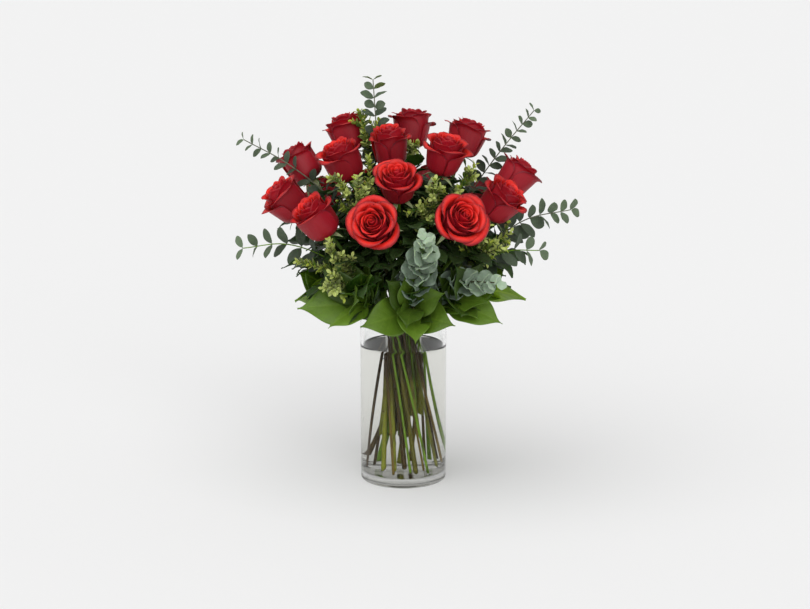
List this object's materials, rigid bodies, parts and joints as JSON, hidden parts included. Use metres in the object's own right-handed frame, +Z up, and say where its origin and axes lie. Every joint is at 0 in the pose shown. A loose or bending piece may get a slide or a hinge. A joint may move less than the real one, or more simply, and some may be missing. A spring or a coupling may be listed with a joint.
{
  "type": "roses in a vase",
  "caption": "Round bouquet of cut red roses with eucalyptus, salal and boxwood sprigs, standing in water in a clear straight-sided glass cylinder vase.",
  "frame": {"origin": "centre of the flat underside of the vase", "axes": "+Z up along the vase's axis; -Y is the front of the arrangement, +X its right"},
  "size_m": [0.4541, 0.3617, 0.5588],
  "materials": {
    "glass": "clear polished",
    "water": "clear water",
    "rose_petals": "velvety petals",
    "rose_stems": "satin green stem",
    "salal_leaves": "semi-gloss leaf",
    "eucalyptus_leaves": "matt waxy leaf",
    "boxwood_leaves": "satin leaf"
  },
  "bodies": {
    "root": {"vase": "glass", "water": "water", "rose_01_bloom": "rose_petals", "rose_02_bloom": "rose_petals", "rose_03_bloom": "rose_petals", "rose_04_bloom": "rose_petals", "rose_05_bloom": "rose_petals", "rose_06_bloom": "rose_petals", "rose_07_bloom": "rose_petals", "rose_08_bloom": "rose_petals", "rose_09_bloom": "rose_petals", "rose_10_bloom": "rose_petals", "rose_11_bloom": "rose_petals", "rose_12_bloom": "rose_petals", "rose_13_bloom": "rose_petals", "rose_14_bloom": "rose_petals", "rose_15_bloom": "rose_petals", "rose_16_bloom": "rose_petals", "rose_17_bloom": "rose_petals", "rose_18_bloom": "rose_petals", "rose_01_stem": "rose_stems", "rose_02_stem": "rose_stems", "rose_03_stem": "rose_stems", "rose_04_stem": "rose_stems", "rose_05_stem": "rose_stems", "rose_06_stem": "rose_stems", "rose_07_stem": "rose_stems", "rose_08_stem": "rose_stems", "rose_09_stem": "rose_stems", "rose_10_stem": "rose_stems", "rose_11_stem": "rose_stems", "rose_12_stem": "rose_stems", "rose_13_stem": "rose_stems", "rose_14_stem": "rose_stems", "rose_15_stem": "rose_stems", "rose_16_stem": "rose_stems", "rose_17_stem": "rose_stems", "rose_18_stem": "rose_stems", "salal_front_left": "salal_leaves", "salal_front": "salal_leaves", "salal_front_right": "salal_leaves", "salal_right": "salal_leaves", "salal_back_right": "salal_leaves", "salal_back_left": "salal_leaves", "salal_left": "salal_leaves", "eucalyptus_top": "eucalyptus_leaves", "eucalyptus_upper_left": "eucalyptus_leaves", "eucalyptus_left": "eucalyptus_leaves", "eucalyptus_upper_right": "eucalyptus_leaves", "eucalyptus_right": "eucalyptus_leaves", "eucalyptus_lower_right": "eucalyptus_leaves", "eucalyptus_front": "eucalyptus_leaves", "eucalyptus_front_right": "eucalyptus_leaves", "eucalyptus_back": "eucalyptus_leaves", "boxwood_left": "boxwood_leaves", "boxwood_lower_left": "boxwood_leaves", "boxwood_top": "boxwood_leaves", "boxwood_right": "boxwood_leaves", "boxwood_lower_right": "boxwood_leaves", "boxwood_back": "boxwood_leaves"}
  },
  "joints": []
}
